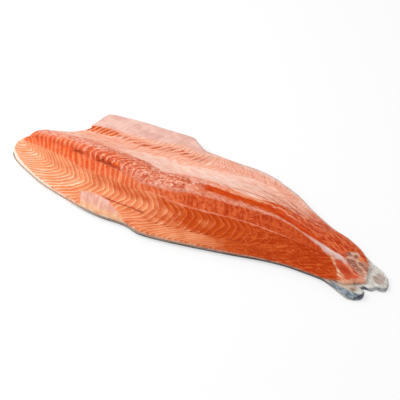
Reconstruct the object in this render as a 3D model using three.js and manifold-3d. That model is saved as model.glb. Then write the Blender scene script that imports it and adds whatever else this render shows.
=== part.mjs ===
// A raw side of salmon, lying skin side down: the boned flesh and the skin it is still on.
//
// Frame, in millimetres: +X runs from the collar (head) end to the tail, +Y from the back edge to
// the belly edge, +Z up. The origin is on the surface the fillet lies on, under the middle of its
// outline.
//
// Every surface is a height over two fractions: s runs along the fillet, 0 at the collar and 1 at
// the tail, and t runs across it, 0 at the back edge and 1 at the belly edge.

import * as THREE from "three";
import { mergeVertices } from "three/addons/utils/BufferGeometryUtils.js";
import Module from "manifold-3d";

// ---- Driving dimensions ------------------------------------------------------------------------

// The outline of the skin, seen from above, as [x, y]. Both edges run from the collar to the tail.
const BACK_EDGE = [
  [-302, -34], [-297, -50], [-281, -62], [-250, -74], [-221, -83], [-190, -88.5], [-149, -93.5],
  [-110, -94.5], [-72, -91], [-47, -95], [-15, -90.5], [20, -82.5], [82, -66.5], [125, -54],
  [160, -46.5], [190, -44], [214, -43], [228, -46], [242, -51], [256, -54.5], [266, -52],
];
const BELLY_EDGE = [
  [-205, 77.5], [-195, 83.5], [-170, 91], [-140, 95.5], [-112, 98], [-85, 101], [-66, 102.5],
  [-54, 96.5], [-38, 89], [-12, 92.5], [18, 95], [48, 97.5], [80, 94], [108, 86.5],
  [128, 77.5], [150, 64.5], [190, 47], [212, 42], [225, 37.5], [240, 31], [251, 23], [265, 15.8],
  [276, 12], [282, 9], [288, 4.7], [292.5, 0],
];

// The cut behind the gills, and the ragged tail with its two lobes of skin, as [t, x, y].
const COLLAR_CUT = [
  [0, -302, -34], [0.12, -302, -24], [0.25, -291, -13], [0.45, -268, 9.5], [0.62, -246, 28],
  [0.8, -221, 47], [0.9, -213, 62], [1, -205, 77.5],
];
const TAIL_END = [
  [0, 266, -52], [0.16, 273, -45], [0.3, 273, -36], [0.38, 264, -31], [0.47, 271, -27],
  [0.58, 279, -26], [0.66, 284, -20.5], [0.76, 291, -20], [0.84, 296, -17.5], [0.92, 297, -10],
  [1, 292.5, 0],
];

// The powers of s with which the ends' outlines fade out into the fillet.
const COLLAR_REACH = 4;
const TAIL_REACH = 16;

// Lines that run the length of the flesh, as [s, t].
const SHOULDER = [[0, 0.07], [0.3, 0.05], [0.8, 0.07], [1, 0.12]]; // where the side rolls over
const STRIP = [
  [0, 0.2], [0.03, 0.25], [0.1, 0.285], [0.2, 0.285], [0.3, 0.3], [0.42, 0.315], [0.53, 0.31],
  [0.62, 0.335], [0.7, 0.36], [0.8, 0.39], [0.9, 0.43], [1, 0.48],
]; // where the back muscle meets the strip along the spine
const SPINE = [
  [0, 0.24], [0.02, 0.33], [0.05, 0.365], [0.11, 0.395], [0.2, 0.41], [0.3, 0.4], [0.42, 0.4],
  [0.46, 0.47],
  [0.52, 0.52], [0.6, 0.55], [0.7, 0.59], [0.78, 0.57], [0.87, 0.55], [0.95, 0.58], [1, 0.6],
]; // the pin-bone crack, and past the ribs the white sinew
const MEMBRANE = [
  [0, 0.44], [0.04, 0.52], [0.11, 0.56], [0.2, 0.56], [0.32, 0.56], [0.43, 0.59], [0.52, 0.64],
  [0.6, 0.67], [0.7, 0.72], [0.8, 0.77], [1, 0.85],
]; // the near edge of the belly lining
const RIDGE_FOOT = [
  [0, 0.79], [0.1, 0.79], [0.2, 0.78], [0.27, 0.79], [0.33, 0.84], [0.4, 0.88], [1, 0.9],
]; // where the belly wall steps up to the flap
const RIDGE_WIDTH = 0.035;
const RIM_LINE = 0.955; // where the belly edge rolls over

// Heights along the fillet, as [s, mm].
const LOIN = [
  [0, 23], [0.06, 25], [0.15, 26], [0.3, 27], [0.45, 28], [0.6, 26.5], [0.7, 24], [0.8, 20],
  [0.87, 14.5], [0.92, 9], [0.95, 5.5], [1, 1.5],
]; // flesh over the spine
const BACK_WALL = [[0, 6], [0.3, 7.5], [0.6, 7.5], [0.85, 6], [0.93, 3], [1, 1]];
const BELLY = [
  [0, 13], [0.06, 12], [0.2, 10.5], [0.4, 11], [0.55, 13], [0.7, 11.5], [0.85, 9.5], [0.93, 6.5], [1, 1.5],
];
const FLAP_STEP = [[0, 6], [0.2, 6.5], [0.33, 5.5], [0.4, 0], [1, 0]];
const FLAP_RIM = [
  [0, 1], [0.1, 4], [0.3, 4], [0.45, 4.5], [0.6, 6], [0.8, 4], [1, 1.5],
]; // thinner by this
const LOBE = [[0, 4], [0.08, 6], [0.2, 4.5], [0.35, 3.5], [0.45, 2.5], [0.6, 1], [0.7, 0], [1, 0]];
const CRACK = [[0, 0], [0.05, 2], [0.12, 3], [0.25, 3], [0.35, 2], [0.42, 0.6], [0.46, 0], [1, 0]];
const GROOVE = [[0, 0], [0.42, 0], [0.47, 1.5], [0.55, 3], [0.7, 3.2], [0.8, 2], [0.9, 0.8], [1, 0]];
const FLAKE = [[0, 0.5], [0.1, 0.8], [0.4, 0.8], [0.6, 0.4], [0.75, 0], [1, 0]];
const BACK_LIFT = [[0, 5], [0.3, 4], [0.7, 4], [0.9, 3], [1, 1]]; // how far the back edge curls up
const BELLY_LIFT = [[0, 11], [0.2, 12], [0.33, 10], [0.5, 6], [0.8, 4], [1, 1]];
const SKIN_THICKNESS = [[0, 1.4], [0.8, 1.4], [0.92, 2.2], [1, 2.6]];
const ROOT_PAD = [[0, 0], [0.88, 0], [0.93, 2], [0.97, 5.5], [1, 4.5]]; // the full root of the tail
const ROOT_NOTCH = 0.42; // fraction of the width where its near lobe meets the far one
const FAR_PAD = 0.55; // how full the far lobe is against the near one
const PAD_FULLNESS = 0.7; // below 1 a lobe is flatter on top and steeper at its sides

const BACK_CURL_WIDTH = 0.22; // fractions of the width that curl up at either edge
const BELLY_CURL_WIDTH = 0.38;
const LOIN_ROUND = 0.4; // fraction of the width over which the back rises
const BELLY_FALL = 0.24; // fraction of the width over which the lobe falls to the lining
const BELLY_FALL_LEAD = 0.03; // how far before the lining's edge that fall begins
const RIM_WIDTH = 0.08;
const GROOVE_OFFSET = 0.042;
const GROOVE_WIDTH = 0.035;
const LOBE_FULLNESS = 0.6; // below 1 the lobe is flatter on top and steeper at its sides
const CRACK_WIDTH = 0.016;
const EDGE_ROUND = [[0, 3], [0.06, 8], [1, 8]]; // the flesh's edges are rounded over this, [s, mm]
const EDGE_STEP = 0.35; // fraction of the height that is left upright at the very edge
const SKIN_LIP = 1.4; // the skin's cut edge stands up round the flesh
const GAP = 0.3; // between the flesh and the skin
const TRIM_DEPTH = 20; // how far below the table the flesh runs before it is cut off at the skin
const TRIM_HEIGHT = 100;

// The flesh stops short of the skin's outline, by these fractions of the width, and at the tail.
const FLESH_BACK_INSET = [
  [0, 0.035], [0.03, 0.014], [0.8, 0.014], [0.93, 0.016], [0.97, 0.03], [1, 0.1],
];
const FLESH_BELLY_INSET = [
  [0, 0.014], [0.58, 0.014], [0.64, 0.045], [0.68, 0.045], [0.72, 0.018], [0.8, 0.018], [0.92, 0.03],
  [0.97, 0.04], [1, 0.06],
];
const FLESH_START = 0.004;
const FLESH_END = 0.957;
const TAIL_TRIM = [
  [0, 0.03], [0.1, 0.003], [0.22, -0.02], [0.34, -0.022], [0.47, -0.002], [0.6, 0.01], [0.8, 0.018],
  [1, 0.035],
]; // [rows of facets as a fraction, s]
const TAIL_TRIM_REACH = 14; // the power of s with which the trim fades out

// ---- How finely the solids are faceted ----------------------------------------------------------

const COLUMNS = 112; // two columns of facets for each flake of muscle
const FLAKES = COLUMNS / 2;
const BAND_ROWS = [3, 6, 3, 6, 5, 2, 4, 2]; // rows of facets between one long line and the next
const ROWS = BAND_ROWS.reduce((sum, rows) => sum + rows, 0);
const SKIN_COLUMNS = 60;
const SKIN_CROWDING = 0.08; // the skin's columns stand closer together towards either end
const SKIN_ROWS = [
  0, 0.008, 0.05, 0.12, 0.22, 0.34, 0.48, 0.62, 0.73, 0.82, 0.9, 0.96, 0.992, 1,
];
const TRIM_OVERHANG = 0.03; // how far the cutting block reaches past the outline

// ---- Curves through stations --------------------------------------------------------------------

// The smooth curve through stations [x, ...values], read at x for one of the values.
function curve(stations, x, value = 1) {
  const last = stations.length - 1;
  const at = Math.min(Math.max(x, stations[0][0]), stations[last][0]);
  let i = 0;
  while (i < last - 1 && at > stations[i + 1][0]) {
    i += 1;
  }
  const slope = (a, b) => (stations[b][value] - stations[a][value]) / (stations[b][0] - stations[a][0]);
  const step = stations[i + 1][0] - stations[i][0];
  const k = (at - stations[i][0]) / step;
  const startSlope = slope(Math.max(i - 1, 0), i + 1) * step;
  const endSlope = slope(i, Math.min(i + 2, last)) * step;
  const easedEnd = k * k * (3 - 2 * k);
  return (
    stations[i][value] * (1 - easedEnd) + stations[i + 1][value] * easedEnd
    + startSlope * k * (1 - k) ** 2 - endSlope * k * k * (1 - k)
  );
}

const mix = THREE.MathUtils.lerp;
const ease = (value) => THREE.MathUtils.smoothstep(value, 0, 1);
const clamp = (value) => THREE.MathUtils.clamp(value, 0, 1);

// ---- The outline from above ---------------------------------------------------------------------

function edgePoint(edge, s) {
  const x = mix(edge[0][0], edge.at(-1)[0], s);
  return [x, curve(edge, x)];
}

// The point at (s, t): straight across from edge to edge, bent at either end to the end's outline.
function planPoint(s, t) {
  const back = edgePoint(BACK_EDGE, s);
  const belly = edgePoint(BELLY_EDGE, s);
  const collarPull = (1 - s) ** COLLAR_REACH;
  const tailPull = clamp(s) ** TAIL_REACH;
  return [0, 1].map((axis) => {
    const bendOf = (end) => curve(end, t, axis + 1) - mix(end[0][axis + 1], end.at(-1)[axis + 1], t);
    return mix(back[axis], belly[axis], t) + collarPull * bendOf(COLLAR_CUT) + tailPull * bendOf(TAIL_END);
  });
}

function widthAt(s) {
  const back = edgePoint(BACK_EDGE, s);
  const belly = edgePoint(BELLY_EDGE, s);
  return Math.hypot(belly[0] - back[0], belly[1] - back[1]);
}

// The middle of the outline, which the origin lies under.
function outlineCentre() {
  const box = new THREE.Box2();
  for (let i = 0; i <= SKIN_COLUMNS; i += 1) {
    for (const t of SKIN_ROWS) {
      box.expandByPoint(new THREE.Vector2(...planPoint(skinColumn(i), t)));
    }
  }
  return box.getCenter(new THREE.Vector2());
}

// ---- Heights ------------------------------------------------------------------------------------

function underside(s, t) {
  const backCurl = clamp((BACK_CURL_WIDTH - t) / BACK_CURL_WIDTH) ** 2;
  const bellyCurl = clamp((t - 1 + BELLY_CURL_WIDTH) / BELLY_CURL_WIDTH) ** 2;
  return curve(BACK_LIFT, s) * backCurl + curve(BELLY_LIFT, s) * bellyCurl;
}

function skinTop(s, t) {
  const nearLobe = Math.sin(Math.PI * clamp(t / ROOT_NOTCH)) ** PAD_FULLNESS;
  const farLobe = FAR_PAD * Math.sin(Math.PI * clamp((t - ROOT_NOTCH) / (1 - ROOT_NOTCH))) ** PAD_FULLNESS;
  return underside(s, t) + curve(SKIN_THICKNESS, s) + curve(ROOT_PAD, s) * (nearLobe + farLobe);
}

// How much of the height is left this far in from an edge that is rounded off.
function roundedEdge(s, distance) {
  return mix(EDGE_STEP, 1, Math.sqrt(1 - clamp(1 - distance / curve(EDGE_ROUND, s)) ** 2));
}

// How thick the flesh is: the loin, the shaved belly and the flap, with the lobe, the crack and
// the groove along the spine.
function fleshThickness(s, t) {
  const spine = curve(SPINE, s);
  const membrane = curve(MEMBRANE, s);
  const ridgeFoot = curve(RIDGE_FOOT, s);
  const wall = curve(BACK_WALL, s);
  const rise = Math.sin((Math.PI / 2) * clamp(t / LOIN_ROUND));
  const loin = wall + (curve(LOIN, s) - wall) * rise;
  const body = mix(loin, curve(BELLY, s), ease((t - membrane + BELLY_FALL_LEAD) / BELLY_FALL));
  const flap = curve(FLAP_STEP, s) * ease((t - ridgeFoot) / RIDGE_WIDTH);
  const rim = curve(FLAP_RIM, s) * clamp((t - 1 + RIM_WIDTH) / RIM_WIDTH) ** 2;
  const lobeShape = Math.sin(Math.PI * clamp((t - spine) / (membrane - spine)));
  const ridgeShape = Math.sin(Math.PI * clamp((t - ridgeFoot) / (2 * RIDGE_WIDTH)));
  const flakes = curve(FLAKE, s) * Math.cos(2 * Math.PI * FLAKES * s) * (lobeShape + ridgeShape);
  const lobe = curve(LOBE, s) * lobeShape ** LOBE_FULLNESS + flakes;
  const crack = curve(CRACK, s) * Math.exp(-(((t - spine) / CRACK_WIDTH) ** 2));
  const groove = curve(GROOVE, s) * Math.exp(-(((t - spine - GROOVE_OFFSET) / GROOVE_WIDTH) ** 2));
  const edgeDistance = Math.min(t, 1 - t) * widthAt(s);
  return (body + flap - rim) * roundedEdge(s, edgeDistance) + lobe - crack - groove;
}

// ---- Solids -------------------------------------------------------------------------------------

// A box of columns and rows of facets, with each corner moved by place(column, row, onTop).
function shapedBox(columns, rows, place) {
  let geometry = new THREE.BoxGeometry(columns, rows, 1, columns, rows, 1);
  geometry.deleteAttribute("normal");
  geometry.deleteAttribute("uv");
  geometry = mergeVertices(geometry);
  const corners = geometry.attributes.position;
  for (let i = 0; i < corners.count; i += 1) {
    const column = Math.round(corners.getX(i) + columns / 2);
    const row = Math.round(corners.getY(i) + rows / 2);
    corners.setXYZ(i, ...place(column, row, corners.getZ(i) > 0));
  }
  return geometry;
}

// The fraction across the flesh at a row: the rows are spread evenly between the long lines.
function acrossAtRow(row, s) {
  const foot = curve(RIDGE_FOOT, s);
  const lines = [
    0, curve(SHOULDER, s), curve(STRIP, s), curve(SPINE, s), curve(MEMBRANE, s), foot,
    foot + RIDGE_WIDTH, RIM_LINE, 1,
  ];
  let band = 0;
  let rowInBand = row;
  while (rowInBand > BAND_ROWS[band]) {
    rowInBand -= BAND_ROWS[band];
    band += 1;
  }
  return mix(lines[band], lines[band + 1], rowInBand / BAND_ROWS[band]);
}

// How far along the fillet a column of the skin's facets stands.
function skinColumn(column) {
  const even = column / SKIN_COLUMNS;
  return even - SKIN_CROWDING * Math.sin(2 * Math.PI * even);
}

const centre = outlineCentre();
const centred = ([x, y], z) => [x - centre.x, y - centre.y, z];

function skinGeometry() {
  const lastRow = SKIN_ROWS.length - 1;
  return shapedBox(SKIN_COLUMNS, lastRow, (column, row, onTop) => {
    const s = skinColumn(column);
    const t = SKIN_ROWS[row];
    const lip = row === 0 || row === lastRow ? SKIN_LIP : 0;
    return centred(planPoint(s, t), onTop ? skinTop(s, t) + lip : underside(s, t));
  });
}

// The flesh's shape, run on below the skin.
function fleshBlock() {
  return shapedBox(COLUMNS, ROWS, (column, row, onTop) => {
    const along = column / COLUMNS;
    const trim = curve(TAIL_TRIM, row / ROWS) * along ** TAIL_TRIM_REACH;
    const s = mix(FLESH_START, FLESH_END, along) - trim;
    const t = mix(
      curve(FLESH_BACK_INSET, along),
      1 - curve(FLESH_BELLY_INSET, along),
      acrossAtRow(row, s),
    );
    return centred(planPoint(s, t), onTop ? skinTop(s, t) + GAP + fleshThickness(s, t) : -TRIM_DEPTH);
  });
}

// Turns a geometry that was shaped upside down the right way out.
function turnOut(geometry) {
  const corners = geometry.index;
  for (let i = 0; i < corners.count; i += 3) {
    const first = corners.getX(i);
    corners.setX(i, corners.getX(i + 1));
    corners.setX(i + 1, first);
  }
  return geometry;
}

// Everything above the skin. It is shaped upside down, because then its lower face is split into
// the same triangles as the skin's upper face, and the two faces fit.
function aboveSkinBlock() {
  const rows = [-TRIM_OVERHANG, ...SKIN_ROWS, 1 + TRIM_OVERHANG];
  return turnOut(shapedBox(SKIN_COLUMNS + 2, rows.length - 1, (column, row, isLowerFace) => {
    const s = skinColumn(column - 1);
    const t = rows[row];
    return centred(planPoint(s, t), isLowerFace ? skinTop(s, t) + GAP : TRIM_HEIGHT);
  }));
}

const wasm = await Module();
wasm.setup();

function toSolid(geometry) {
  return new wasm.Manifold(new wasm.Mesh({
    numProp: 3,
    vertProperties: Float32Array.from(geometry.attributes.position.array),
    triVerts: Uint32Array.from(geometry.index.array),
  }));
}

function toGeometry(solid) {
  const mesh = solid.getMesh();
  const geometry = new THREE.BufferGeometry();
  geometry.setAttribute("position", new THREE.BufferAttribute(mesh.vertProperties, 3));
  geometry.setIndex(new THREE.BufferAttribute(mesh.triVerts, 1));
  geometry.computeVertexNormals();
  return geometry;
}

// ---- The fillet ---------------------------------------------------------------------------------

const fleshMaterial = new THREE.MeshStandardMaterial({ color: 0xf08a5e, roughness: 0.4, metalness: 0 });
const skinMaterial = new THREE.MeshStandardMaterial({ color: 0x8d969b, roughness: 0.35, metalness: 0.2 });

const fillet = new THREE.Group();

const flesh = new THREE.Mesh(
  toGeometry(toSolid(fleshBlock()).intersect(toSolid(aboveSkinBlock()))),
  fleshMaterial,
);
flesh.name = "flesh";
fillet.add(flesh);

const skin = new THREE.Mesh(skinGeometry(), skinMaterial);
skin.geometry.computeVertexNormals();
skin.name = "skin";
fillet.add(skin);

export default fillet;
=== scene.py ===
import math

import bmesh
import bpy
import numpy as np
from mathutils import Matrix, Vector, noise


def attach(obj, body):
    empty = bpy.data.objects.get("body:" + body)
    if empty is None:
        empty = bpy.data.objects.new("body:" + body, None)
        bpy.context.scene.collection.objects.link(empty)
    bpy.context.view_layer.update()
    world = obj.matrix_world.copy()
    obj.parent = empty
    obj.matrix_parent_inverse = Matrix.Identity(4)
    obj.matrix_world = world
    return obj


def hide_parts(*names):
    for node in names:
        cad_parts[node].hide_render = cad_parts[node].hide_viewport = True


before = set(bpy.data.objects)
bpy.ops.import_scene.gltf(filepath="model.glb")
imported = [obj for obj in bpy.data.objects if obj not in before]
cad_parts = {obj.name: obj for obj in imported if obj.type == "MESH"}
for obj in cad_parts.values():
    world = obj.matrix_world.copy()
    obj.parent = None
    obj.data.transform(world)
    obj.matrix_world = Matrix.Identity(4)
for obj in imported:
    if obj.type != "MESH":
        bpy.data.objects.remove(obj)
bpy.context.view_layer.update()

# ---- Flesh ----
# The boned side of the fish: raw muscle in flakes that thin sheets of fat part from each other, with
# the pale lining of the belly and its flap. It is one piece, cut free along the spine and the back.

# Every surface is a height over two fractions: s runs along the side from the collar to the tail,
# and t across it from the back edge to the belly edge. Lengths are in millimetres until the end.
MM = 0.001

# The outline of the skin from above, [x, y], and the two ends' outlines, [t, x, y].
BACK_EDGE = [
    [-302, -34], [-297, -50], [-281, -62], [-250, -74], [-221, -83], [-190, -88.5], [-149, -93.5],
    [-110, -94.5], [-72, -91], [-47, -95], [-15, -90.5], [20, -82.5], [82, -66.5], [125, -54],
    [160, -46.5], [190, -44], [214, -43], [228, -46], [242, -51], [256, -54.5], [266, -52],
]
BELLY_EDGE = [
    [-205, 77.5], [-195, 83.5], [-170, 91], [-140, 95.5], [-112, 98], [-85, 101], [-66, 102.5],
    [-54, 96.5], [-38, 89], [-12, 92.5], [18, 95], [48, 97.5], [80, 94], [108, 86.5],
    [128, 77.5], [150, 64.5], [190, 47], [212, 42], [225, 37.5], [240, 31], [251, 23],
    [265, 15.8], [276, 12], [282, 9], [288, 4.7], [292.5, 0],
]
COLLAR_CUT = [
    [0, -302, -34], [0.12, -302, -24], [0.25, -291, -13], [0.45, -268, 9.5], [0.62, -246, 28],
    [0.8, -221, 47], [0.9, -213, 62], [1, -205, 77.5],
]
TAIL_END = [
    [0, 266, -52], [0.16, 273, -45], [0.3, 273, -36], [0.38, 264, -31], [0.47, 271, -27],
    [0.58, 279, -26], [0.66, 284, -20.5], [0.76, 291, -20], [0.84, 296, -17.5], [0.92, 297, -10],
    [1, 292.5, 0],
]
COLLAR_REACH = 4
TAIL_REACH = 16

# Lines along the flesh, [s, t].
SHOULDER = [[0, 0.07], [0.3, 0.05], [0.8, 0.07], [1, 0.12]]
STRIP = [
    [0, 0.2], [0.03, 0.25], [0.1, 0.285], [0.2, 0.285], [0.3, 0.3], [0.42, 0.315], [0.53, 0.31],
    [0.62, 0.335], [0.7, 0.36], [0.8, 0.39], [0.9, 0.43], [1, 0.48],
]
SPINE = [
    [0, 0.24], [0.02, 0.33], [0.05, 0.365], [0.11, 0.395], [0.2, 0.41], [0.3, 0.4], [0.42, 0.4],
    [0.46, 0.47], [0.52, 0.52], [0.6, 0.55], [0.7, 0.59], [0.78, 0.57], [0.87, 0.55], [0.95, 0.58],
    [1, 0.6],
]
MEMBRANE = [
    [0, 0.44], [0.04, 0.52], [0.11, 0.56], [0.2, 0.56], [0.32, 0.56], [0.43, 0.59], [0.52, 0.64],
    [0.6, 0.67], [0.7, 0.72], [0.8, 0.77], [1, 0.85],
]
RIDGE_FOOT = [
    [0, 0.79], [0.1, 0.79], [0.2, 0.78], [0.27, 0.79], [0.33, 0.84], [0.4, 0.88], [1, 0.9],
]
RIDGE_WIDTH = 0.035
RIM_LINE = 0.955

# Heights along the flesh, [s, mm], and the parts of the width over which they fade.
LOIN = [
    [0, 23], [0.06, 25], [0.15, 26], [0.3, 27], [0.45, 28], [0.6, 26.5], [0.7, 24], [0.8, 20],
    [0.87, 14.5], [0.92, 9], [0.95, 5.5], [1, 1.5],
]
BACK_WALL = [[0, 6], [0.3, 7.5], [0.6, 7.5], [0.85, 6], [0.93, 3], [1, 1]]
BELLY = [
    [0, 13], [0.06, 12], [0.2, 10.5], [0.4, 11], [0.55, 13], [0.7, 11.5], [0.85, 9.5], [0.93, 6.5],
    [1, 1.5],
]
FLAP_STEP = [[0, 6], [0.2, 6.5], [0.33, 5.5], [0.4, 0], [1, 0]]
FLAP_RIM = [[0, 1], [0.1, 4], [0.3, 4], [0.45, 4.5], [0.6, 6], [0.8, 4], [1, 1.5]]
LOBE = [
    [0, 4], [0.08, 6], [0.2, 4.5], [0.35, 3.5], [0.45, 2.5], [0.6, 1], [0.7, 0], [1, 0],
]
CRACK = [[0, 0], [0.05, 2], [0.12, 3], [0.25, 3], [0.35, 2], [0.42, 0.6], [0.46, 0], [1, 0]]
GROOVE = [[0, 0], [0.42, 0], [0.47, 1.5], [0.55, 3], [0.7, 3.2], [0.8, 2], [0.9, 0.8], [1, 0]]
BACK_LIFT = [[0, 5], [0.3, 4], [0.7, 4], [0.9, 3], [1, 1]]
BELLY_LIFT = [[0, 11], [0.2, 12], [0.33, 10], [0.5, 6], [0.8, 4], [1, 1]]
SKIN_THICKNESS = [[0, 1.4], [0.8, 1.4], [0.92, 2.2], [1, 2.6]]
ROOT_PAD = [[0, 0], [0.88, 0], [0.93, 2], [0.97, 5.5], [1, 4.5]]
ROOT_NOTCH = 0.42  # the line between the near and the far lobe of the tail root
FAR_PAD = 0.55  # how full the far lobe is against the near one
PAD_FULLNESS = 0.7
BACK_CURL_WIDTH = 0.22
BELLY_CURL_WIDTH = 0.38
LOIN_ROUND = 0.4
BELLY_FALL = 0.24
BELLY_FALL_LEAD = 0.03
RIM_WIDTH = 0.08
GROOVE_OFFSET = 0.042
GROOVE_WIDTH = 0.035
LOBE_FULLNESS = 0.6
CRACK_WIDTH = 0.016
EDGE_ROUND = [[0, 3], [0.06, 8], [1, 8]]  # how far in from its edges the flesh is rounded off
EDGE_STEP = 0.35  # the part of its thickness that is left right at an edge
GAP = 0.3  # between the skin and the flesh
FLESH_BACK_INSET = [
    [0, 0.035], [0.03, 0.014], [0.8, 0.014], [0.93, 0.016], [0.97, 0.03], [1, 0.1],
]
FLESH_BELLY_INSET = [
    [0, 0.014], [0.58, 0.014], [0.64, 0.045], [0.68, 0.045], [0.72, 0.018], [0.8, 0.018],
    [0.92, 0.03], [0.97, 0.04], [1, 0.06],
]
FLESH_START = 0.004
FLESH_END = 0.957
TAIL_TRIM = [
    [0, 0.03], [0.1, 0.003], [0.22, -0.02], [0.34, -0.022], [0.47, -0.002], [0.6, 0.01],
    [0.8, 0.018], [1, 0.035],
]
TAIL_TRIM_REACH = 14

# The flakes: their length along the fish, [x, mm], and the lines that their sheets of fat turn at,
# [s, t]. A sheet lies furthest towards the tail at its tip; from line to line it leans, [s, mm].
FLAKE_LENGTH = [[-320, 6.4], [-240, 7.1], [-150, 8.6], [-90, 9.2], [-30, 10], [60, 10.2], [320, 10]]
FLAKE_TIP = [
    [0, 0.2], [0.05, 0.19], [0.12, 0.182], [0.2, 0.184], [0.25, 0.188], [0.29, 0.203], [0.335, 0.213],
    [0.36, 0.207], [0.39, 0.193], [0.42, 0.198], [0.46, 0.224], [0.5, 0.233], [0.54, 0.238], [0.6, 0.246],
    [0.67, 0.257], [0.8, 0.29], [1, 0.33],
]
FLAKE_HEEL = [
    [0, 0.07], [0.35, 0.08], [0.5, 0.105], [0.6, 0.113], [0.65, 0.122], [0.69, 0.135], [0.74, 0.156],
    [0.8, 0.178], [1, 0.2],
]
FLAKE_TURN = [
    [0, 0.825], [0.27, 0.825], [0.35, 0.85], [0.42, 0.88], [0.46, 0.885], [0.52, 0.86], [0.57, 0.88],
    [0.61, 0.91], [1, 0.92],
]
LEAN_EDGE = [[0, -22], [0.2, -24], [0.35, -28], [0.45, -36], [0.5, -44], [0.6, -62], [0.8, -85], [1, -85]]
LEAN_HEEL = [
    [0, -28], [0.1, -28], [0.2, -20], [0.25, -16], [0.32, -15], [0.38, -11], [0.44, -9], [0.52, -7],
    [1, -6],
]
LEAN_STRIP = [
    [0, -26], [0.12, -27], [0.17, -22], [0.2, -20], [0.26, -19], [0.32, -21], [0.4, -23], [0.46, -20],
    [0.52, -18], [0.6, -18], [0.7, -21], [1, -26],
]
LEAN_SPINE = [[0, -11], [0.4, -14], [0.55, -22], [1, -30]]
LEAN_TURN = [[0, 22], [0.14, 26], [0.22, 34], [0.36, 46], [0.42, 56], [0.6, 66], [1, 60]]
LEAN_RIM = [[0, 18], [0.3, 16], [0.36, 8], [0.42, -16], [0.48, -26], [0.56, -12], [0.62, -6], [1, -6]]
LEAN_RIDGE = [[0, 6], [0.12, 12], [0.34, 12], [0.42, 0], [1, 0]]
HEEL_BOW = [[0, 0.35], [0.3, 0.4], [0.4, 0.75], [1, 0.5]]  # how bowed a sheet is from its tip
STRIP_BOW = 0.42
LOBE_ARC = 46  # how far a sheet sweeps towards the tail across the lobe
LOBE_START = -12
TURN_WIDTH = [[0, 0.004], [0.3, 0.006], [0.37, 0.01], [1, 0.012]]  # the part of the width it turns over
TURN_STEPS = 4  # the leans on either side that a turn is the mean of
COUNT_REACH = 460  # how far each way the flakes are counted, in mm

COARSE_COLUMNS = 110
COARSE_ROWS = 48
CUTS = 3  # how often each coarse edge of the top is cut
BAND_ROWS = [16, 34, 20, 40, 32, 12, 26, 12]  # fine rows between one long line and the next
OUTLINE_COLUMNS = 240  # the places at which the outline is looked at for its middle
OUTLINE_ROWS = 80
SEED_STEP = (17.3, 5.1, 9.7)  # how far each seed moves the noise


def curve(stations, x, value=1):
    """The smooth curve through the stations, read at every x."""
    table = np.array(stations, dtype=float)
    place, height = table[:, 0], table[:, value]
    x = np.clip(x, place[0], place[-1])
    i = np.clip(np.searchsorted(place, x) - 1, 0, len(place) - 2)
    before = np.maximum(i - 1, 0)
    after = np.minimum(i + 2, len(place) - 1)
    step = place[i + 1] - place[i]
    k = (x - place[i]) / step
    start_slope = (height[i + 1] - height[before]) / (place[i + 1] - place[before]) * step
    end_slope = (height[after] - height[i]) / (place[after] - place[i]) * step
    eased = k * k * (3 - 2 * k)
    return (
        height[i] * (1 - eased) + height[i + 1] * eased
        + start_slope * k * (1 - k) ** 2 - end_slope * k * k * (1 - k)
    )


def unit(x):
    return np.clip(x, 0, 1)


def ease(x):
    return unit(x) ** 2 * (3 - 2 * unit(x))


def mix(a, b, k):
    return a + (b - a) * k


def bell(x):
    return np.exp(-np.square(x))


def edge_point(edge, s):
    x = mix(edge[0][0], edge[-1][0], s)
    return x, curve(edge, x)


def plan_point(s, t):
    """Where (s, t) is from above: straight across, bent at either end to the end's outline."""
    back, belly = edge_point(BACK_EDGE, s), edge_point(BELLY_EDGE, s)
    place = []
    for axis in (0, 1):
        across = mix(back[axis], belly[axis], t)
        for end, pull in ((COLLAR_CUT, (1 - s) ** COLLAR_REACH), (TAIL_END, unit(s) ** TAIL_REACH)):
            straight = mix(end[0][axis + 1], end[-1][axis + 1], t)
            across = across + pull * (curve(end, t, axis + 1) - straight)
        place.append(across)
    return place


def width_at(s):
    back, belly = edge_point(BACK_EDGE, s), edge_point(BELLY_EDGE, s)
    return np.hypot(belly[0] - back[0], belly[1] - back[1])


def outline_centre():
    s, t = np.meshgrid(np.linspace(0, 1, OUTLINE_COLUMNS), np.linspace(0, 1, OUTLINE_ROWS))
    return [(place.min() + place.max()) / 2 for place in plan_point(s, t)]


def underside(s, t):
    back_curl = unit((BACK_CURL_WIDTH - t) / BACK_CURL_WIDTH) ** 2
    belly_curl = unit((t - 1 + BELLY_CURL_WIDTH) / BELLY_CURL_WIDTH) ** 2
    return curve(BACK_LIFT, s) * back_curl + curve(BELLY_LIFT, s) * belly_curl


def skin_top(s, t):
    near_lobe = np.sin(math.pi * unit(t / ROOT_NOTCH)) ** PAD_FULLNESS
    far_lobe = FAR_PAD * np.sin(math.pi * unit((t - ROOT_NOTCH) / (1 - ROOT_NOTCH))) ** PAD_FULLNESS
    return underside(s, t) + curve(SKIN_THICKNESS, s) + curve(ROOT_PAD, s) * (near_lobe + far_lobe)


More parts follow.
